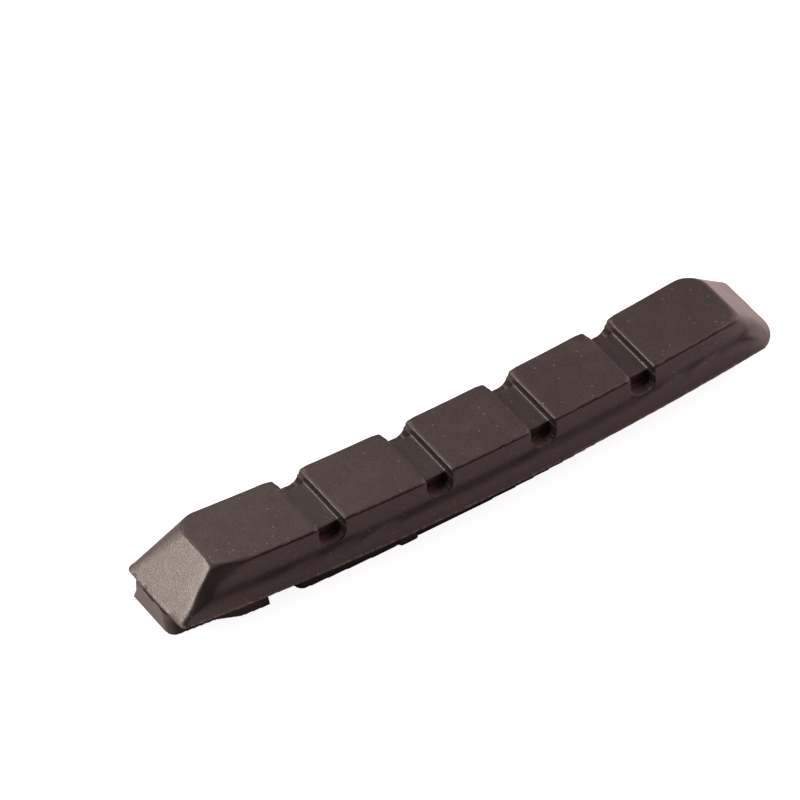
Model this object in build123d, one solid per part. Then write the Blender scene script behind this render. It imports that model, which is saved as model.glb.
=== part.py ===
"""Bicycle rim brake pad: a curved rubber insert that slides into a cartridge shoe.

One moulded piece of rubber, in millimetres. X runs along the chord of the pad, from the end with
the retaining pin (-X) to the end that enters the shoe first (+X). +Y points to the concave side,
where the wheel's axle is, and +Z out of the braking face. The sole of the rail lies on Z = 0.
"""

import math
import os

from build123d import *

# Body
overall_length = 72.0
curve_radius = 332.0  # plan radius of the middle line
face_width = 8.45
slope_length = 4.8  # end slope, measured along X
body_height = 5.0  # skirt edge to braking face
wall_height = 1.35  # straight upper part of the convex side
wall_lean = 0.08  # how far the straight part leans out
skirt_reach = 0.8  # how far the skirt stands out below it
cove_radius = 2.0  # hollow where the wall turns out to the skirt
roll_radius = 2.4  # round shoulder of the skirt below it
skirt_fall = 0.8  # how much lower hollow and shoulder lie at the pin end
skirt_edge = 0.2  # thickness of the skirt's thin outer edge
corner_spread = 0.12  # convex corners start this far outside the swept side
convex_corner_top = 1.6  # corner radius between an end slope and the convex side, at the face
convex_corner_foot = 3.5  # and at the skirt
concave_corner_top = 2.5  # the same on the plain concave side
concave_corner_foot = 0.9
edge_radius = 0.3  # around the top of each block

# Water grooves across the braking face
groove_count = 4
groove_pitch = 12.33
groove_width = 2.85
groove_depth = 1.06
groove_root_radius = 0.3
drain_depth = 2.3  # notch at each end of a groove, below the braking face
drain_reach = 1.15  # how far the notch cuts into the side wall
drain_root_radius = 1.0

# Rail under the skirt, with reaches measured on the sole from the middle line
neck_height = 1.5
foot_height = 1.4
foot_flare = 0.6  # foot beyond the neck, on each side
rail_pin_inset = 0.3  # rail end behind the skirt, at the pin end
rail_entry_inset = 0.7  # and at the end that enters first
rail_corner_radius = 1.0  # upright corners at the ends of the nose and the long run
foot_reach_pin = 3.55  # the long run tapers from the pin gap
foot_reach_entry = 2.45  # to the end that enters first
nose_length = 4.9  # narrowed nose on the convex side
nose_reach = 2.9
ramp_length = 2.4
tab_length = 3.15  # widened foot between the ramp and the pin gap
tab_reach = 3.7
concave_tab_reach = 3.9  # widened foot on the concave side, as long as nose, ramp and tab
pin_gap = 3.25  # room for the shoe's retaining pin
pin_web_reach = 2.0  # rubber left between the two pin gaps
lug_from_gap = 11.55  # small lug on the convex side of the long run
lug_length = 2.2
lug_height = 0.4

# Levels and stations that follow
rail_height = foot_height + neck_height
skirt_top = rail_height + skirt_edge
face_level = skirt_top + body_height
wall_foot = face_level - wall_height
face_half = face_width / 2
wall_half = face_half + wall_lean
skirt_half = wall_half + skirt_reach
pin_end = rail_pin_inset - overall_length / 2
ramp_start = pin_end + nose_length
tab_start = ramp_start + ramp_length
gap_start = tab_start + tab_length
run_start = gap_start + pin_gap
entry_end = overall_length / 2 - rail_entry_inset
lug_start = run_start + lug_from_gap
lug_end = lug_start + lug_length
skirt_turn = math.acos(1 - skirt_reach / (cove_radius + roll_radius))  # where hollow meets shoulder
roll_foot = wall_foot - (cove_radius + roll_radius) * math.sin(skirt_turn)
curve_axis = Axis((0, curve_radius, 0), (0, 0, 1))
clear = overall_length  # any length that reaches right through the pad


def bend(x):
    """How far the middle line has bent towards +Y at this x."""
    return curve_radius - math.sqrt(curve_radius**2 - x**2)


def swept_side():
    """Convex side: straight wall, hollow, round shoulder and skirt, swept past both ends with a fall."""
    above = face_level + skirt_fall
    below = skirt_top - skirt_fall
    cove_reach = wall_half + cove_radius * (1 - math.cos(skirt_turn))
    wall_end = (-wall_half, wall_foot)
    cove_end = (-cove_reach, wall_foot - cove_radius * math.sin(skirt_turn))
    roll_end = (-skirt_half, roll_foot)
    wall_top = (wall_lean * skirt_fall / wall_height - face_half, above)
    wall = Line(wall_top, wall_end)
    cove = TangentArc(wall_end, cove_end, tangent=(0, -1))
    roll = TangentArc(cove_end, roll_end, tangent=cove % 1)
    far = 2 * skirt_half
    rest = Polyline(roll_end, (-skirt_half, below), (far, below), (far, above), wall_top)
    section = Plane.YZ * make_face(Curve() + [wall, cove, roll, rest])
    sweep = 4 * math.degrees(math.asin(overall_length / 2 / curve_radius))
    side = revolve(section, curve_axis, sweep).rotate(curve_axis, -sweep / 2)
    return side.rotate(Axis.Y, -math.degrees(math.atan(skirt_fall / overall_length)))


def hull_outline(level, convex_reach):
    """Plan at one level of the ends, the concave side and the four rounded corners."""
    share = (face_level - level) / body_height
    half = overall_length / 2 - slope_length * (1 - share)
    concave_reach = face_half + share * (skirt_half - face_half)
    convex_corner = convex_corner_top + share * (convex_corner_foot - convex_corner_top)
    concave_corner = concave_corner_top + share * (concave_corner_foot - concave_corner_top)
    convex_end = curve_radius - math.sqrt((curve_radius + convex_reach) ** 2 - half**2)
    concave_end = curve_radius - math.sqrt((curve_radius - concave_reach) ** 2 - half**2)
    convex = ThreePointArc((-half, convex_end), (0, -convex_reach), (half, convex_end))
    concave = ThreePointArc((half, concave_end), (0, concave_reach), (-half, concave_end))
    ends = [Line(convex @ 1, concave @ 0), Line(concave @ 1, convex @ 0)]
    plan = make_face(Curve() + [convex, concave, *ends])
    plan = fillet(plan.vertices().sort_by(Axis.Y)[:2], convex_corner)
    plan = fillet(plan.vertices().sort_by(Axis.Y)[-2:], concave_corner)
    return Pos(0, 0, level) * plan


def block():
    """The body above the skirt's edge: the swept side, trimmed by the ends and the other side."""
    top = hull_outline(face_level, face_half + corner_spread)
    middle = hull_outline(roll_foot + skirt_fall, skirt_half + corner_spread)
    foot = hull_outline(skirt_top, skirt_half + corner_spread)
    return swept_side() & loft([top, middle, foot], ruled=True)


def slot(x, floor, root_radius, y0, y1):
    """An upright slot of the groove's width from y0 to y1, with rounded roots, open above."""
    outline = Rectangle(groove_width, body_height, align=(Align.CENTER, Align.MIN))
    outline = fillet(outline.vertices().group_by(Axis.Y)[0], root_radius)
    face = Plane((x, y0, floor), x_dir=(1, 0, 0), z_dir=(0, -1, 0)) * outline
    return extrude(face, y0 - y1)


def grooves():
    """Each water groove, with a deeper drain notch where it meets the two side walls."""
    floor = face_level - groove_depth
    drain = face_level - drain_depth
    inner = face_half - drain_reach
    cuts = []
    for i in range(groove_count):
        x = (i - (groove_count - 1) / 2) * groove_pitch
        cuts.append(slot(x, floor, groove_root_radius, -clear, clear))
        cuts.append(slot(x, drain, drain_root_radius, -clear, bend(x) - inner))
        cuts.append(slot(x, drain, drain_root_radius, bend(x) + inner, clear))
    return cuts


def rail_outline(x0, convex0, concave0, x1, convex1, concave1, rounded):
    """Plan of a length of rail, given its reach on both sides at both of its ends."""
    xm = (x0 + x1) / 2
    convex_middle = bend(xm) - (convex0 + convex1) / 2
    concave_middle = bend(xm) + (concave0 + concave1) / 2
    a = (x0, bend(x0) - convex0)
    b = (x1, bend(x1) - convex1)
    c = (x1, bend(x1) + concave1)
    d = (x0, bend(x0) + concave0)
    convex_side = ThreePointArc(a, (xm, convex_middle), b)
    concave_side = ThreePointArc(c, (xm, concave_middle), d)
    plan = make_face(Curve() + [convex_side, Line(b, c), concave_side, Line(d, a)])
    for i in rounded:
        corner = plan.vertices().sort_by_distance((a, b, c, d)[i])[0]
        plan = fillet(corner, rail_corner_radius)
    return plan


def rail_length(x0, convex0, concave0, x1, convex1, concave1, flare=foot_flare, rounded=()):
    """A length of rail: the foot tapers up to the neck, which runs up into the body."""
    sole = rail_outline(x0, convex0, concave0, x1, convex1, concave1, rounded)
    convex = (convex0 - flare, convex1 - flare)
    concave = (concave0 - flare, concave1 - flare)
    neck = rail_outline(x0, convex[0], concave[0], x1, convex[1], concave[1], rounded)
    neck = Pos(0, 0, foot_height) * neck
    return loft([sole, neck], ruled=True) + extrude(neck, skirt_top - foot_height)


def rail():
    """The rail that the shoe holds: nose, tab, web between the pin gaps, long run and lug."""
    tab = concave_tab_reach
    whole = rail_length(pin_end, nose_reach, tab, ramp_start, nose_reach, tab, rounded=[0])
    whole += rail_length(ramp_start, nose_reach, tab, tab_start, tab_reach, tab)
    whole += rail_length(tab_start, tab_reach, tab, gap_start, tab_reach, tab)
    web = pin_web_reach
    whole += rail_length(gap_start, web, web, run_start, web, web, flare=0)
    start, end = foot_reach_pin, foot_reach_entry
    whole += rail_length(run_start, start, start, entry_end, end, end, rounded=[0, 1, 2])
    along = (lug_start - run_start) / (entry_end - run_start)
    lug_reach = start + along * (end - start) + lug_height
    return whole + rail_length(lug_start, lug_reach, 0, lug_end, lug_reach, 0)


def brake_pad():
    """The whole insert, centred over its own footprint."""
    pad = block()
    skirt = pad.faces().sort_by(Axis.Z)[0]
    pad += extrude(skirt, skirt_edge, dir=(0, 0, -1))
    pad -= grooves()
    tops = pad.faces().filter_by(Axis.Z).group_by(Axis.Z)[-1]
    pad = fillet(tops.edges(), edge_radius)
    pad += rail()
    return Pos(0, -pad.bounding_box().center().Y) * pad


os.makedirs("parts", exist_ok=True)
export_step(brake_pad(), "parts/brake_pad.step")
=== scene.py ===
"""Looks of the rim brake pad: moulded rubber on a white studio floor, seen as in the photograph."""

import math

import bmesh
import bpy
import numpy as np
from mathutils import Matrix, Vector


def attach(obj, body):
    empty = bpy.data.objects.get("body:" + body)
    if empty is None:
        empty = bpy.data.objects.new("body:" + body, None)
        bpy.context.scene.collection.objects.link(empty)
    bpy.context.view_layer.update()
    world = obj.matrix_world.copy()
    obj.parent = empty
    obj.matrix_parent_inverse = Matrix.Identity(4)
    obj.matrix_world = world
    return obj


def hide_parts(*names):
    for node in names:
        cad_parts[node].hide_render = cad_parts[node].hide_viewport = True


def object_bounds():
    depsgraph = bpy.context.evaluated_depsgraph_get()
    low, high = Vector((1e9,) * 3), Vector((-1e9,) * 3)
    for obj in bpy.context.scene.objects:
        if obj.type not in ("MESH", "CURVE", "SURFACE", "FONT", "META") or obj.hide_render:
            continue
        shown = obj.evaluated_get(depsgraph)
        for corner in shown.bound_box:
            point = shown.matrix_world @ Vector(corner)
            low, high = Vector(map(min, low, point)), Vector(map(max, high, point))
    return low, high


MM = 0.001

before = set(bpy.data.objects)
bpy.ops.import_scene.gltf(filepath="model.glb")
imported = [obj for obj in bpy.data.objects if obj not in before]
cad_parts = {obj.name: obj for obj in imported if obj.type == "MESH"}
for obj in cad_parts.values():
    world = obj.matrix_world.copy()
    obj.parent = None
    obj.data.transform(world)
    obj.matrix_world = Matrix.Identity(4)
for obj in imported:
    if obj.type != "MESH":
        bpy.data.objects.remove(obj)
cad_low, cad_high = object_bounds()

# Camera, found by fitting the block edges to the photograph
CAMERA_AZIMUTH = -34.40
CAMERA_ELEVATION = 44.94
CAMERA_DISTANCE = 0.700
PIXELS_PER_METRE = 10161.0
IMAGE_SIZE = 800
SENSOR = 36.0
FACE_CENTRE_PIXEL = (468.3, 426.1)

# The pad in millimetres, as in the CAD model
CURVE_RADIUS = 332.0
FACE_HALF = 4.225
SLOPE_LENGTH = 4.8
WALL_HEIGHT, WALL_LEAN = 1.35, 0.08
COVE_RADIUS, ROLL_RADIUS = 2.0, 2.4
SKIRT_REACH, SKIRT_FALL = 0.8, 0.8
SKIRT_LOW, SKIRT_HIGH = 2.9, 3.1
EDGE_RADIUS = 0.3
GROOVE_COUNT = 4
GROOVE_PITCH = 12.33
GROOVE_HALF = 1.425
GROOVE_DEPTH, DRAIN_DEPTH = 1.06, 2.3
DRAIN_ROOT_RADIUS = 1.0
SKIRT_HALF = FACE_HALF + WALL_LEAN + SKIRT_REACH
APEX = cad_low.y / MM + SKIRT_HALF
END = cad_high.x / MM
TOP = cad_high.z / MM
SLOPE_TOP = END - SLOPE_LENGTH
GROOVE_FLOOR, DRAIN_FLOOR = TOP - GROOVE_DEPTH, TOP - DRAIN_DEPTH
GROOVED_HALF = 22.0  # all grooves lie within this distance of the middle

# Visual mesh, in millimetres
WELD = 0.002
VOXEL = 0.075
MESH_TRIANGLES = 190000
CHART_WIDTH = 76.0
CHART_MARGIN = 0.6
CHART_STEP = 0.3  # walls further apart than this get charts of their own
CHART_UPWARD = 0.635  # faces whose normals point up or down by more than this are charted from there

# Corner at the pin end: a tight ridge and the facet that slants from it to the near side, in millimetres
CORNER_ALONG, CORNER_ACROSS = -28.0, -1.0  # the corner lies beyond these
RIDGE_RADIUS = 0.6
RIDGE_ROUNDS = 12  # steps in which the ridge is brought out
RIDGE_STEP, RIDGE_SHORT = 0.3, 0.03  # the longest step, and how far short of the ridge it ends
RIDGE_FOOT_REACH, RIDGE_TOP_REACH = 4.6, 3.25
FACET_ACROSS = -2.0
FACET_DEPTH = 1.2
FACET_FOOT = -35.0  # where the facet starts on the near side, at the skirt
FACET_LEAN, FACET_BEND = 2.6, 5.2  # how far that start moves in on the way up, evenly and squared

# Lip of the slope at the pin end, in millimetres
LIP_X = -34.8
LIP_INSET = 0.28
LIP_RAGGED = 0.03
LIP_RAGGED_SIZE = 0.5

# Hollow that runs round the near corner at the entering end, in millimetres
HOLLOW_DEPTH = 0.25
HOLLOW_SPREAD = 0.6
HOLLOW_ALONG = (31.7, 32.7, 1.9)  # from, to and fade
HOLLOW_ACROSS = (-3.2, -4.0)
HOLLOW_START, HOLLOW_LEVEL = 30.5, 6.35
HOLLOW_DROP = 0.14  # by the square of the distance from its start

# Sides and ends that are evened out, and the grooves that are spared: where that sets in and is full
SIDES_ACROSS = (4.0, 4.1)
ENDS_ALONG = (30.5, 31.0)
SPARED_ALONG = (GROOVE_HALF + 0.9, GROOVE_HALF + 0.5)
SPARED_UP = (5.3, 5.7)

# Places that the mould leaves soft: from, to and fade, in millimetres along, across and up the pad
ANY = (-math.inf, math.inf, 1.0)
PIN_CORNER = ((-math.inf, -28.0, 1.0), (-math.inf, -3.0, 0.5), (3.35, math.inf, 0.4))
RIDGE_TOP = ((-31.6, -30.4, 0.8), (-3.9, -2.7, 0.7), (7.1, math.inf, 0.5))
ENTRY_TOP = ((30.5, math.inf, 2.5), ANY, (6.0, math.inf, 1.5))
LUG = ((-10.45, -8.25, 0.3), (-math.inf, -2.8, 0.2), (0.0, 1.4, 0.3))

# The same where a groove opens: from its wall, from the edge of the braking face, and up
NEAR_MOUTH = ((-0.25, 0.25, 0.35), (-0.35, 0.35, 0.4), (DRAIN_FLOOR + 0.7, math.inf, 0.4))
FAR_MOUTH = ((-0.5, 0.5, 0.5), (-0.6, 0.6, 0.5), ANY)

# Waviness of the surface, as height and size, and flash on the skirt's rim, in millimetres
WAVES = (0.008, 2.2)
RIPPLES = (0.004, 0.7)
FLASH_LEAST, FLASH_MORE = 0.03, 0.05
FLASH_SIZE, FLASH_FINE_SIZE = 0.8, 0.35
SOLE_FADE = 0.2  # the sole stays flat

# Lamps round the pad: azimuth from the front towards +X, elevation, watts, width, colour
LAMP_DISTANCE = 0.60
LAMP_AIM = (0, 0, 0.005)
BACK_COLOUR = (1.0, 0.80, 0.73)
SIDE_COLOUR = (1.0, 0.65, 0.68)
LAMPS = [
    (180, 50, 1.25, 0.4, BACK_COLOUR),
    (240, 28, 4.0, 0.3, BACK_COLOUR),
    (212, 12, 0.6, 0.25, BACK_COLOUR),
    (90, 28, 4.3, 0.9, SIDE_COLOUR),
    (0, 75, 0.5, 0.6, SIDE_COLOUR),
]

# Floor and world
FLOOR_HALF = 1.5
FLOOR_GREY = 0.4
FLOOR_GLOW = 0.92
WORLD_LEVEL = 0.002

# The floor as the rubber mirrors it, a glow that only reflections see: a painted shadow keeps it dark under
# and beside the pad, and it grows brighter outwards between these millimetres
MIRRORED_GLOW = 0.42
MIRRORED_COLOUR = (1.0, 0.60, 0.60, 1)
MIRRORED_BESIDE = (6.0, 8.0)
MIRRORED_BY_PIN = (-24.5, -26.5)
END_GLOW = 0.82
END_COLOUR = (1.0, 0.76, 0.74, 1)
END_BEYOND = (END - 2.0, END)

# Rubber, with the sizes of its texture in millimetres
RUBBER_DARK = (0.0238, 0.0226, 0.0223, 1)
RUBBER_LIGHT = (0.0382, 0.0364, 0.0357, 1)
RUBBER_DUSTY = (0.045, 0.044, 0.037, 1)
RUBBER_SPECK = (0.20, 0.18, 0.17, 1)
# pale dust and a painted highlight along the skirt's rim
PALE_RIM = (0.45, 0.40, 0.36, 1)
# tone of the drain notches, set with their dulled sheen to stand in for their shade
DRAIN_SHADE_TONE = (0.066, 0.047, 0.043, 1)
# colour of the painted shade
SHADE_COLOUR = (0.010, 0.007, 0.007, 1)
ROUGHNESS = (0.31, 0.39)
SHEEN = (0.42, 0.58)
DULL_SHARE = 0.25  # of the sheen, left under the painted shade and in the drains
GRAIN_SIZE = 0.16
GRAIN_HEIGHT = 0.02
SHEEN_SIZE = 0.20
PATCH_SIZE = 3.5
SPECK_SPACING = 0.8
SPECK_CORE, SPECK_EDGE = 0.08, 0.14  # in shares of the spacing
SPECK_STRENGTH = 0.7
SPECKLESS_SHARE = 0.50  # of the places where a speck could be

# Painted shade on the rubber, in the crack at the pin end, along the near edge, on the groove walls and in
# the drains, and where the rim's pale dust and painted highlight start, in millimetres
# Painted shadow in the crack at the pin end: where it lies, how tall and how thin
CRACK_X = -35.2
CRACK_MIDDLE, CRACK_HALF = 0.5, 2.5
CRACK_SIDES = (3.0, -1.5)
CRACK_HEIGHTS = (0.35, 0.72)
CRACK_LEAST = 0.18
PALE_RIM_FROM = 4.7
# Painted shade along the near edge of the braking face: its widths and how far down it reaches
EDGE_SHADE_WIDTHS = (0.08, 0.26)
EDGE_SHADE_DEPTH = 0.18
EDGE_SHADE_SHARE, GROOVE_WALL_SHADE, DRAIN_WALL_SHADE = 0.7, 0.75, 0.85  # how much of the rubber they hide
DRAIN_MIDDLE, DRAIN_HALF = 3.6, 0.85


def towards(azimuth, elevation):
    """Direction from the pad, with the azimuth counted from the front towards +X, in degrees."""
    a, e = math.radians(azimuth), math.radians(elevation)
    return Vector((math.sin(a) * math.cos(e), -math.cos(a) * math.cos(e), math.sin(e)))


def make_camera():
    back = towards(CAMERA_AZIMUTH, CAMERA_ELEVATION)
    right = Vector((-back.y, back.x, 0)).normalized()
    up = back.cross(right)
    aside = (IMAGE_SIZE / 2 - FACE_CENTRE_PIXEL[0]) / PIXELS_PER_METRE
    above = (FACE_CENTRE_PIXEL[1] - IMAGE_SIZE / 2) / PIXELS_PER_METRE
    face_centre = Vector((0.0, APEX * MM, cad_high.z))
    data = bpy.data.cameras.new("camera")
    data.sensor_width = SENSOR
    data.lens = CAMERA_DISTANCE * PIXELS_PER_METRE * SENSOR / IMAGE_SIZE
    data.clip_start = CAMERA_DISTANCE / 100
    data.clip_end = CAMERA_DISTANCE * 100
    camera = bpy.data.objects.new("camera", data)
    camera.location = face_centre + back * CAMERA_DISTANCE
    level = Matrix((right, up, back)).transposed().to_quaternion()
    aim = face_centre + right * aside + up * above - camera.location
    camera.rotation_euler = ((-back).rotation_difference(aim) @ level).to_euler()
    bpy.context.scene.collection.objects.link(camera)
    bpy.context.scene.camera = camera


class Nodes:
    """A material's node tree, with short calls to add nodes and join their sockets."""

    def __init__(self, material):
        material.use_nodes = True
        self.tree = material.node_tree

    def add(self, kind, links=(), **settings):
        node = self.tree.nodes.new(kind)
        for name, value in settings.items():
            setattr(node, name, value)
        for socket, source in dict(links).items():
            if isinstance(source, bpy.types.NodeSocket):
                self.tree.links.new(source, node.inputs[socket])
            else:
                node.inputs[socket].default_value = source
        return node

    def math(self, operation, value, *others):
        """An operation on one value, or chained over several."""
        for other in others or (0.0,):
            value = self.add("ShaderNodeMath", {0: value, 1: other}, operation=operation).outputs[0]
        return value

    def apart(self, first, second):
        """Distance between two values."""
        return self.math("ABSOLUTE", self.math("SUBTRACT", first, second))

    def millimetres(self, place):
        """A place in metres, turned into millimetres."""
        links = {"Vector": place, "Scale": 1 / MM}
        return self.add("ShaderNodeVectorMath", links, operation="SCALE").outputs[0]

    def split(self, place):
        return self.add("ShaderNodeSeparateXYZ", {0: place}).outputs

    def noise(self, place, size, detail=2.0):
        """Smooth noise from 0 to 1 with features about this many millimetres wide."""
        links = {"Vector": place, "Scale": 1 / size, "Detail": detail}
        return self.add("ShaderNodeTexNoise", links).outputs[0]

    def ramp(self, value, low, high, start=0.0, end=1.0):
        links = {0: value, 1: low, 2: high, 3: start, 4: end}
        return self.add("ShaderNodeMapRange", links).outputs[0]

    def mix(self, share, first, second):
        links = {0: share, 6: first, 7: second}
        return self.add("ShaderNodeMix", links, data_type="RGBA").outputs[2]


def make_floor():
    """A white floor that keeps the pad's shadow, and a glow that only the rubber's reflections see, with a
    painted shadow beside the pad so that the rubber mirrors it only around the pad.
    """
    mesh = bpy.data.meshes.new("floor")
    half = FLOOR_HALF
    corners = [(-half, -half, 0), (half, -half, 0), (half, half, 0), (-half, half, 0)]
    mesh.from_pydata(corners, [], [(0, 1, 2, 3)])
    floor = bpy.data.objects.new("floor", mesh)
    bpy.context.scene.collection.objects.link(floor)
    material = bpy.data.materials.new("floor")
    nodes = Nodes(material)
    nodes.tree.nodes.clear()
    path = nodes.add("ShaderNodeLightPath").outputs
    place = nodes.millimetres(nodes.add("ShaderNodeNewGeometry").outputs["Position"])
    along = nodes.split(place)[0]
    beside = nodes.math("ABSOLUTE", across_pad(nodes, place))
    beyond = nodes.math("ABSOLUTE", along)
    # glow that only reflections see: a painted shadow beside the pad, brighter under the pin end and beyond
    # both ends
    level = nodes.math(
        "MAXIMUM",
        nodes.ramp(along, *MIRRORED_BY_PIN, 0.0, MIRRORED_GLOW),
        nodes.ramp(beside, *MIRRORED_BESIDE, 0.0, MIRRORED_GLOW),
        nodes.ramp(beyond, *END_BEYOND, 0.0, END_GLOW),
    )
    tint = nodes.mix(nodes.ramp(beyond, *END_BEYOND), MIRRORED_COLOUR, END_COLOUR)
    mirrored = nodes.math("MAXIMUM", path["Is Glossy Ray"], path["Is Transmission Ray"])
    mirrored = nodes.math("MULTIPLY", mirrored, level)
    seen = nodes.math("MULTIPLY", path["Is Camera Ray"], FLOOR_GLOW)
    glow = nodes.add("ShaderNodeEmission", {"Strength": seen})
    card = nodes.add("ShaderNodeEmission", {"Color": tint, "Strength": mirrored})
    paint = nodes.add("ShaderNodeBsdfDiffuse", {"Color": (FLOOR_GREY, FLOOR_GREY, FLOOR_GREY, 1)})
    lit = nodes.add("ShaderNodeAddShader", {0: glow.outputs[0], 1: card.outputs[0]})
    both = nodes.add("ShaderNodeAddShader", {0: paint.outputs[0], 1: lit.outputs[0]})
    nodes.add("ShaderNodeOutputMaterial", {"Surface": both.outputs[0]})
    mesh.materials.append(material)


def make_world():
    world = bpy.data.worlds.new("studio")
    bpy.context.scene.world = world
    world.use_nodes = True
    world.node_tree.nodes["Background"].inputs["Color"].default_value = (1, 1, 1, 1)
    world.node_tree.nodes["Background"].inputs["Strength"].default_value = WORLD_LEVEL


def make_lamps():
    for azimuth, elevation, watts, width, colour in LAMPS:
        away = towards(azimuth, elevation)
        data = bpy.data.lights.new("lamp", "AREA")
        data.shape = "DISK"
        data.size = width
        data.energy = watts
        data.color = colour
        lamp = bpy.data.objects.new("lamp", data)
        lamp.location = Vector(LAMP_AIM) + away * LAMP_DISTANCE
        lamp.rotation_euler = (-away).to_track_quat("-Z", "Y").to_euler()
        bpy.context.scene.collection.objects.link(lamp)


def make_rubber():
    """Dark brown-black rubber with grain, dusty patches and light specks, pale dust with a painted
    highlight on the skirt's rim, and painted shade in the pin-end crack, along the near edge, on the groove
    walls and in the drains.
    """
    material = bpy.data.materials.new("rubber")
    nodes = Nodes(material)
    shader = nodes.tree.nodes["Principled BSDF"]
    place = nodes.millimetres(nodes.add("ShaderNodeTexCoord").outputs["Object"])
    grain = nodes.noise(place, GRAIN_SIZE)
    patches = nodes.noise(place, PATCH_SIZE, 3.0)
    drain, drain_wall_shade = drains(nodes, place)
    marks = [mark(nodes, place) for mark in (pin_crack_shadow, near_edge_shade, groove_wall_shade)]
    # painted shade in the crack, along the near edge, on the groove walls and on the drains' +X walls
    painted_shade = nodes.math("MAXIMUM", drain_wall_shade, *marks)
    tone = nodes.mix(nodes.ramp(grain, 0.3, 0.7), RUBBER_DARK, RUBBER_LIGHT)
    tone = nodes.mix(nodes.ramp(patches, 0.52, 0.72, 0.0, 0.6), tone, RUBBER_DUSTY)
    tone = nodes.mix(specks(nodes, place), tone, RUBBER_SPECK)
    tone = nodes.mix(pale_rim(nodes, place), tone, PALE_RIM)
    # the drain notches take a tone that stands in for their shade
    tone = nodes.mix(drain, tone, DRAIN_SHADE_TONE)
    tone = nodes.mix(painted_shade, tone, SHADE_COLOUR)
    sheen = nodes.ramp(nodes.noise(place, SHEEN_SIZE), 0.3, 0.7, *SHEEN)
    dull = nodes.ramp(nodes.math("MAXIMUM", painted_shade, drain), 0.0, 1.0, 1.0, DULL_SHARE)
    bump = nodes.add("ShaderNodeBump", {"Height": grain, "Strength": 0.5, "Distance": GRAIN_HEIGHT * MM})
    for socket, source in (
        ("Base Color", tone),
        ("Roughness", nodes.ramp(patches, 0.2, 0.8, *ROUGHNESS)),
        ("Specular IOR Level", nodes.math("MULTIPLY", sheen, dull)),
        ("Normal", bump.outputs[0]),
    ):
        nodes.tree.links.new(source, shader.inputs[socket])
    return material


def across_pad(nodes, place):
    """How far a point lies from the pad's curved middle line, less than 0 on the near side."""
    x, y, _ = nodes.split(place)
    bent = nodes.math("MULTIPLY", x, x, 0.5 / CURVE_RADIUS)
    return nodes.math("SUBTRACT", y, bent, APEX)


def off_groove(nodes, x):
    """How far a point lies from the middle of the nearest water groove, less than 0 on its -X side."""
    number = nodes.math("ADD", nodes.math("DIVIDE", x, GROOVE_PITCH), GROOVE_COUNT / 2)
    return nodes.math("MULTIPLY", nodes.math("SUBTRACT", nodes.math("FRACT", number), 0.5), GROOVE_PITCH)


def specks(nodes, place):
    """Share of the light specks that are scattered through the rubber."""
    cells = nodes.add("ShaderNodeTexVoronoi", {"Vector": place, "Scale": 1 / SPECK_SPACING})
    draw = nodes.add("ShaderNodeSeparateColor", {0: cells.outputs["Color"]}).outputs[0]
    speck = nodes.ramp(cells.outputs["Distance"], SPECK_CORE, SPECK_EDGE, SPECK_STRENGTH, 0.0)
    return nodes.math("MULTIPLY", speck, nodes.math("GREATER_THAN", draw, SPECKLESS_SHARE))


def pale_rim(nodes, place):
    """Share of pale dust and painted highlight along the skirt's thin edge."""
    z = nodes.split(place)[2]
    reach = nodes.math("ABSOLUTE", across_pad(nodes, place))
    return nodes.math(
        "MULTIPLY",
        nodes.ramp(z, SKIRT_HIGH + 0.25, SKIRT_HIGH - 0.1),
        nodes.math("GREATER_THAN", z, SKIRT_LOW - 0.03),
        nodes.math("GREATER_THAN", reach, PALE_RIM_FROM),
        nodes.ramp(nodes.noise(place, 0.5, 3.0), 0.42, 0.68, 0.05, 0.7),
    )


def pin_crack_shadow(nodes, place):
    """Share of painted shadow in the ragged crack between the slope's lip and the rail, at the pin end."""
    x, y, z = nodes.split(place)
    tall = nodes.ramp(y, *CRACK_SIDES, *CRACK_HEIGHTS)
    ragged = nodes.ramp(nodes.noise(place, 0.9), 0.35, 0.6, 0.2, 1.0)
    height = nodes.math("MULTIPLY", tall, ragged)
    return nodes.math(
        "MULTIPLY",
        nodes.math("LESS_THAN", x, CRACK_X),
        nodes.math("LESS_THAN", nodes.apart(y, CRACK_MIDDLE), CRACK_HALF),
        nodes.math("GREATER_THAN", nodes.math("ADD", z, height), SKIRT_LOW - CRACK_LEAST),
        nodes.math("LESS_THAN", z, SKIRT_LOW + 0.02),
    )


def near_edge_shade(nodes, place):
    """Share of painted shade along the near edge of the braking face, wider at spots that stand for small
    shaded nicks.
    """
    z = nodes.split(place)[2]
    off_edge = nodes.apart(across_pad(nodes, place), -FACE_HALF)
    wide = nodes.ramp(nodes.noise(place, 0.8, 3.0), 0.40, 0.70, *EDGE_SHADE_WIDTHS)
    on_face = nodes.math("GREATER_THAN", z, TOP - EDGE_SHADE_DEPTH)
    return nodes.math("MULTIPLY", nodes.math("LESS_THAN", off_edge, wide), on_face, EDGE_SHADE_SHARE)


def groove_wall_shade(nodes, place):
    """Share of painted shade on the upright walls of the grooves."""
    x, _, z = nodes.split(place)
    off_wall = nodes.apart(nodes.math("ABSOLUTE", off_groove(nodes, x)), GROOVE_HALF)
    off_level = nodes.apart(z, (TOP + GROOVE_FLOOR) / 2)
    return nodes.math(
        "MULTIPLY",
        nodes.ramp(off_wall, 0.10, 0.06),
        nodes.ramp(off_level, 0.40, 0.30),
        nodes.math("LESS_THAN", nodes.math("ABSOLUTE", x), GROOVED_HALF),
        GROOVE_WALL_SHADE,
    )


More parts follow.
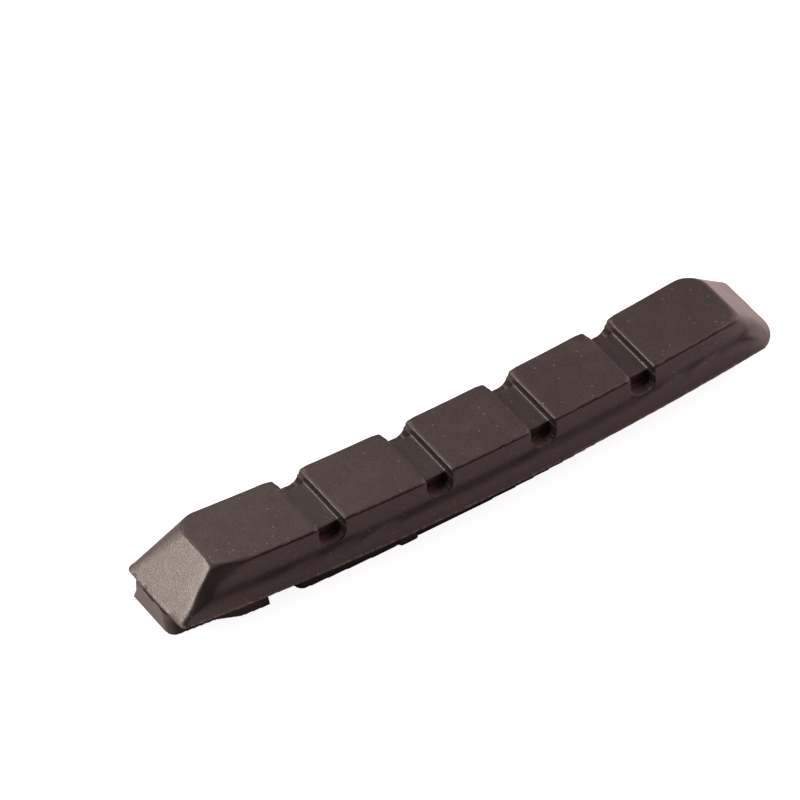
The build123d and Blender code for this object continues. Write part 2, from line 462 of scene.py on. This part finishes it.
def drains(nodes, place):
    """1 in the drain notches, whose tone together with the dulled sheen stands in for their shade, and 0
    elsewhere, and the share of painted shade on their +X walls.
    """
    x, _, z = nodes.split(place)
    from_middle = off_groove(nodes, x)
    off_side = nodes.math("ABSOLUTE", across_pad(nodes, place))
    straight_half = GROOVE_HALF - DRAIN_ROOT_RADIUS
    root_level = DRAIN_FLOOR + DRAIN_ROOT_RADIUS
    off_middle = nodes.math("ABSOLUTE", from_middle)
    aside = nodes.math("MAXIMUM", nodes.math("SUBTRACT", off_middle, straight_half), 0.0)
    below = nodes.math("MAXIMUM", nodes.math("SUBTRACT", root_level, z), 0.0)
    squares = nodes.math("ADD", nodes.math("MULTIPLY", aside, aside), nodes.math("MULTIPLY", below, below))
    inside = nodes.math(
        "MULTIPLY",
        nodes.math("LESS_THAN", nodes.math("SQRT", squares), DRAIN_ROOT_RADIUS + 0.1),
        nodes.math("LESS_THAN", nodes.math("ABSOLUTE", x), GROOVED_HALF),
        nodes.math("LESS_THAN", z, GROOVE_FLOOR - 0.06),
        nodes.math("LESS_THAN", nodes.apart(off_side, DRAIN_MIDDLE), DRAIN_HALF),
    )
    return inside, nodes.math("MULTIPLY", inside, nodes.ramp(from_middle, -0.2, 1.1, 0.0, DRAIN_WALL_SHADE))


def noise(points, size, seed):
    """Smooth random values from -1 to 1 at the points, with features about this size."""
    at = points / size + 31.7 * seed
    cell = np.floor(at).astype(np.int64)
    part = at - cell
    part = part * part * (3 - 2 * part)
    total = np.zeros(len(points))
    for corner in np.ndindex(2, 2, 2):
        i, j, k = (cell + corner).T
        mixed = (i * 73856093) ^ (j * 19349663) ^ (k * 83492791) ^ (seed * 2654435)
        mixed = (mixed ^ (mixed >> 13)) * 1274126177 & 0x7FFFFFFF
        value = ((mixed ^ (mixed >> 16)) & 0xFFFF) / 32767.5 - 1
        total += value * np.where(corner, part, 1 - part).prod(axis=1)
    return total


def apply_modifiers(piece):
    graph = bpy.context.evaluated_depsgraph_get()
    old = piece.data
    piece.data = bpy.data.meshes.new_from_object(piece.evaluated_get(graph))
    piece.modifiers.clear()
    bpy.data.meshes.remove(old)


def read(values, field, width, kind=float):
    """One field of a mesh's vertices, edges or faces as rows of an array."""
    rows = np.empty(len(values) * width, kind)
    values.foreach_get(field, rows)
    return rows.reshape(-1, width)


def move_vertices(mesh, points):
    mesh.vertices.foreach_set("co", points.ravel())
    mesh.update()


def rise(value, low, high):
    """0 up to low, rising evenly to 1 at high; low may be the greater of the two."""
    return np.clip((value - low) / (high - low), 0, 1)


def within(value, low, high, fade):
    """1 from low to high, falling to 0 over the fade beyond them."""
    return np.clip(1 - np.maximum(low - value, value - high) / fade, 0, 1)


def inside_box(box, *place):
    """1 inside a box given by from, to and fade for each part of the place, falling to 0 around it."""
    return math.prod(within(value, *span) for value, span in zip(place, box))


def relax(points, edges, weight, rounds, normals=None):
    """Evens the points out towards their neighbours by a weight each, or only inwards from normals."""
    moving = np.flatnonzero(weight > 0)
    number = np.zeros(len(points), np.int64)
    number[moving] = np.arange(len(moving))
    pairs = np.concatenate([edges, edges[:, ::-1]])
    pairs = pairs[weight[pairs[:, 0]] > 0]
    owner, other = number[pairs[:, 0]], pairs[:, 1]
    count = np.bincount(owner, minlength=len(moving))[:, None]
    points = points.copy()
    for _ in range(rounds):
        sums = np.stack([np.bincount(owner, points[other, i], len(moving)) for i in range(3)], 1)
        move = sums / count - points[moving]
        if normals is not None:
            move[(move * normals[moving]).sum(axis=1) > 0] = 0
        points[moving] += weight[moving, None] * move
    return points


def place_on_pad(points):
    """How far along the pad, across it from its curved middle line, and up each point lies."""
    along = points[:, 0]
    middle = APEX + CURVE_RADIUS - np.sqrt(CURVE_RADIUS**2 - along**2)
    return along, points[:, 1] - middle, points[:, 2]


def from_groove(along):
    """Distance from the middle of the nearest water groove, less than 0 on its -X side."""
    last = GROOVE_COUNT - 1
    number = np.clip(np.round(along / GROOVE_PITCH + last / 2), 0, last)
    return along - (number - last / 2) * GROOVE_PITCH


def side_reach(along, up):
    """How far the convex side reaches from the middle line: wall, hollow, shoulder and skirt."""
    turn = math.acos(1 - SKIRT_REACH / (COVE_RADIUS + ROLL_RADIUS))
    roll_foot = WALL_HEIGHT + (COVE_RADIUS + ROLL_RADIUS) * math.sin(turn)
    drop = TOP - up + SKIRT_FALL * along / (2 * END)
    cove = np.clip((drop - WALL_HEIGHT) / COVE_RADIUS, 0, math.sin(turn))
    roll = np.clip((roll_foot - drop) / ROLL_RADIUS, 0, math.sin(turn))
    reach = FACE_HALF + WALL_LEAN * rise(drop, 0, WALL_HEIGHT)
    reach += COVE_RADIUS * (1 - np.sqrt(1 - cove**2))
    return reach + ROLL_RADIUS * (np.sqrt(1 - roll**2) - math.cos(turn))


def slope_end(up):
    """How far from the middle an end slope lies at this height."""
    return END - SLOPE_LENGTH * rise(up, SKIRT_HIGH, TOP)


def bring_out_pin_corner(points, normals, edges):
    """Brings the near corner at the pin end out to the tight ridge of the photograph."""
    along, across, up = place_on_pad(points)
    around = (along < CORNER_ALONG) & (across < CORNER_ACROSS) & (up > SKIRT_LOW - 0.05)
    looks_aside = (normals[:, 2] > -0.6) & (normals[:, 2] < 0.85)
    corner = around & looks_aside
    below = around & ~corner & (up < SKIRT_HIGH)
    part = points[corner]
    fade = rise(across[corner], CORNER_ACROSS, CORNER_ACROSS - 1) * rise(up[corner], TOP - 0.05, TOP - 0.35)
    steep = 1 / math.hypot(1, SLOPE_LENGTH / (TOP - SKIRT_HIGH))
    for _ in range(RIDGE_ROUNDS):
        along, across, up = place_on_pad(part)
        past_slope = steep * (-along - slope_end(up))
        past_side = -across - side_reach(along, up)
        over = np.maximum([past_slope + RIDGE_RADIUS, past_side + RIDGE_RADIUS], 0)
        round_off = np.hypot(*over) - RIDGE_RADIUS
        outside = np.where(over.min(axis=0) > 0, round_off, np.maximum(past_slope, past_side))
        step = fade * np.clip(-outside - RIDGE_SHORT, 0, RIDGE_STEP)
        part = part - step[:, None] * (1, 1, 0)
    shift = np.zeros_like(points)
    shift[corner] = part - points[corner]
    return points + relax(shift, edges, np.where(below, 0.9, 0.0), 60)


def cut_pin_facet(points):
    """Cuts the slanting facet between the braking face, the near side and the ridge at the pin end."""
    along, across, up = place_on_pad(points)
    share = rise(up, SKIRT_HIGH, TOP)
    start = FACET_FOOT + FACET_LEAN * share + FACET_BEND * share**2
    start_reach = side_reach(start, up)
    ridge_reach = RIDGE_FOOT_REACH + share * (RIDGE_TOP_REACH - RIDGE_FOOT_REACH)
    way = np.clip((start - along) / (start + slope_end(up)), 0, 1.2)
    reach = start_reach + way * (ridge_reach - start_reach)
    cut = np.clip(-across - reach, 0, FACET_DEPTH) * rise(up, SKIRT_HIGH + 0.1, SKIRT_HIGH + 0.6)
    cut *= (along < start) & (across < FACET_ACROSS)
    return points + cut[:, None] * (0, 1, 0)


def draw_in_pin_lip(points):
    """Draws the foot of the slope at the pin end in, with a ragged lip."""
    along, _, up = place_on_pad(points)
    share = rise(-along, SLOPE_TOP, END) * rise(up, SKIRT_LOW - 0.3, SKIRT_LOW)
    at_lip = within(up, SKIRT_LOW - 0.05, SKIRT_HIGH + 0.05, 0.2) * (along < LIP_X)
    inward = LIP_INSET * share + LIP_RAGGED * at_lip * noise(points, LIP_RAGGED_SIZE, 7)
    return points + inward[:, None] * (1, 0, 0)


def hollow_entry_corner(points, normals):
    """Carries the hollow of the near side on round the corner at the end that enters first."""
    along, across, up = place_on_pad(points)
    middle = HOLLOW_LEVEL - HOLLOW_DROP * (along - HOLLOW_START) ** 2
    depth = HOLLOW_DEPTH * np.exp(-(((up - middle) / HOLLOW_SPREAD) ** 2))
    depth *= within(along, *HOLLOW_ALONG) * rise(across, *HOLLOW_ACROSS) * (up > SKIRT_HIGH)
    return points - depth[:, None] * normals


def square_up(points, side, level, out, power):
    """Squares up a rounded edge (out 1) or root (out -1) at one side of each groove, by a power over 2."""
    along, across, up = place_on_pad(points)
    u = 1 - out * (side * from_groove(along) - GROOVE_HALF) / EDGE_RADIUS
    v = 1 - out * (level - up) / EDGE_RADIUS
    size = np.hypot(u, v)
    rounded = (u > 0.02) & (v > 0.02) & (size > 0.6) & (size < 1.3) & (np.abs(across) < FACE_HALF - 0.1)
    u, v = np.where(rounded, u, 1), np.where(rounded, v, 0)
    grow = (np.hypot(u, v) / (u**power + v**power) ** (1 / power) - 1) * out * EDGE_RADIUS
    return points + np.stack([-side * u * grow, 0 * u, v * grow], 1)


def even_out_sides(points, edges):
    """Evens out the sides between the grooves, and then the two ends."""
    along, across, up = place_on_pad(points)
    spared = rise(np.abs(from_groove(along)), *SPARED_ALONG) * rise(up, *SPARED_UP)
    upright = within(up, SKIRT_HIGH + 0.3, TOP - 0.7, 0.3)
    sides = upright * rise(np.abs(across), *SIDES_ACROSS) * (1 - spared)
    ends = upright * rise(np.abs(along), *ENDS_ALONG)
    points = relax(points, edges, 0.7 * sides, 50)
    return relax(points, edges, 0.6 * ends, 20)


def soft_spots(along, across, up):
    """Places to round off: a weight for each point, the rounds, and whether it moves only inwards."""
    place = along, across, up
    near_share = 0.3 + 0.5 * rise(across, -1.5, -3.5)
    from_wall = np.abs(from_groove(along)) - GROOVE_HALF
    near_mouth = inside_box(NEAR_MOUTH, from_wall, across + FACE_HALF, up)
    far_mouth = inside_box(FAR_MOUTH, from_wall, across - FACE_HALF, up) * (up > GROOVE_FLOOR)
    before_groove = from_groove(along) < 0
    return [
        (0.7 * inside_box(PIN_CORNER, *place), 70, False),
        (0.8 * inside_box(RIDGE_TOP, *place), 70, False),
        (near_share * inside_box(ENTRY_TOP, *place), 60, False),
        (0.7 * inside_box(LUG, *place), 50, False),
        (0.5 * near_mouth, 2, True),
        (0.6 * near_mouth * before_groove, 30, True),
        (0.6 * far_mouth, 50, True),
    ]


def soften(points, normals, edges):
    """Rounds off what the mould leaves soft, and squares up what it leaves crisp."""
    points = relax(points, edges, np.full(len(points), 0.5), 2)
    points = square_up(points, -1, TOP, 1, 5.0)
    points = square_up(points, 1, TOP, 1, 4.0)
    points = square_up(points, 1, GROOVE_FLOOR, -1, 4.5)
    points = even_out_sides(points, edges)
    points = bring_out_pin_corner(points, normals, edges)
    points = draw_in_pin_lip(points)
    points = cut_pin_facet(points)
    points = hollow_entry_corner(points, normals)
    for weight, rounds, only_inwards in soft_spots(*place_on_pad(points)):
        points = relax(points, edges, weight, rounds, normals if only_inwards else None)
    return points


def wear(points, normals):
    """Moves the points a little, as moulding and handling leave a rubber pad."""
    up = points[:, 2]
    lift = WAVES[0] * noise(points, WAVES[1], 1) + RIPPLES[0] * noise(points, RIPPLES[1], 2)
    rim = within(up, SKIRT_LOW + 0.02, SKIRT_HIGH - 0.02, 0.12) * (1 - np.abs(normals[:, 2]))
    flash = noise(points, FLASH_SIZE, 3) + 0.3 * noise(points, FLASH_FINE_SIZE, 4)
    lift += rim * (FLASH_LEAST + FLASH_MORE * np.clip(flash, 0, 1))
    lift *= rise(up, 0, SOLE_FADE)
    return points + normals * lift[:, None]


def spread_for_baking(mesh):
    """A texture layout in flat charts from six sides, with each wall across the pad in its own."""
    points = read(mesh.vertices, "co", 3) / MM
    corners = read(mesh.loops, "vertex_index", 1, np.int32)[:, 0]
    faces = corners.reshape(-1, 3)
    normals = read(mesh.vertex_normals, "vector", 3)[faces].mean(axis=1)
    middles = points[faces].mean(axis=1)
    upright = np.where(np.abs(normals[:, 0]) > np.abs(normals[:, 1]), 0, 1)
    axis = np.where(np.abs(normals[:, 2]) > CHART_UPWARD, 2, upright)
    chart = 2 * axis + (np.take_along_axis(normals, axis[:, None], 1)[:, 0] > 0)
    for facing in (0, 1):
        members = np.flatnonzero(chart == facing)
        members = members[np.argsort(middles[members, 0])]
        steps = np.diff(middles[members, 0], prepend=middles[members[0], 0]) > CHART_STEP
        chart[members] = 10 + 50 * facing + np.cumsum(steps)  # numbers clear of the other charts
    layout = np.empty((len(faces), 3, 2))
    left, bottom, row = 0.0, 0.0, 0.0
    boxes = []
    for name in np.unique(chart):
        members = np.flatnonzero(chart == name)
        flat = [i for i in range(3) if i != axis[members[0]]]
        spots = points[faces[members]][:, :, flat]
        spots = spots - spots.min(axis=(0, 1))
        boxes.append((spots.max(axis=(0, 1)), members, spots))
    for size, members, spots in sorted(boxes, key=lambda box: -box[0][1]):
        if left + size[0] > CHART_WIDTH:
            left, bottom, row = 0.0, bottom + row + CHART_MARGIN, 0.0
        layout[members] = spots + (left, bottom)
        left += size[0] + CHART_MARGIN
        row = max(row, size[1])
    layout = (layout + CHART_MARGIN) / (max(CHART_WIDTH, bottom + row) + 2 * CHART_MARGIN)
    mesh.uv_layers.new(name="OFBake").data.foreach_set("uv", layout.ravel())


def make_pad(rubber):
    """The pad as an even, finely meshed copy of the solid, worked over in millimetres."""
    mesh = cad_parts["brake_pad"].data.copy()
    mesh.transform(Matrix.Scale(1 / MM, 4))
    shell = bmesh.new()
    shell.from_mesh(mesh)
    bmesh.ops.remove_doubles(shell, verts=shell.verts, dist=WELD)
    shell.to_mesh(mesh)
    shell.free()
    pad = bpy.data.objects.new("moulded_pad", mesh)
    bpy.context.scene.collection.objects.link(pad)
    remesh = pad.modifiers.new("even", "REMESH")
    remesh.mode = "VOXEL"
    remesh.voxel_size = VOXEL
    apply_modifiers(pad)
    mesh = pad.data
    points = read(mesh.vertices, "co", 3)
    normals = read(mesh.vertex_normals, "vector", 3)
    points = soften(points, normals, read(mesh.edges, "vertices", 2, np.int32))
    move_vertices(mesh, points)
    move_vertices(mesh, wear(points, read(mesh.vertex_normals, "vector", 3)))
    fewer = pad.modifiers.new("fewer", "DECIMATE")
    fewer.ratio = MESH_TRIANGLES / (2 * len(mesh.polygons))
    fewer.use_collapse_triangulate = True
    apply_modifiers(pad)
    mesh = pad.data
    mesh.transform(Matrix.Scale(MM, 4))
    mesh.polygons.foreach_set("use_smooth", [True] * len(mesh.polygons))
    spread_for_baking(mesh)
    mesh.materials.clear()
    mesh.materials.append(rubber)
    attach(pad, "root")
    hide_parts("brake_pad")


make_camera()
make_floor()
make_world()
make_lamps()
make_pad(make_rubber())
bpy.context.scene.view_settings.view_transform = "Standard"
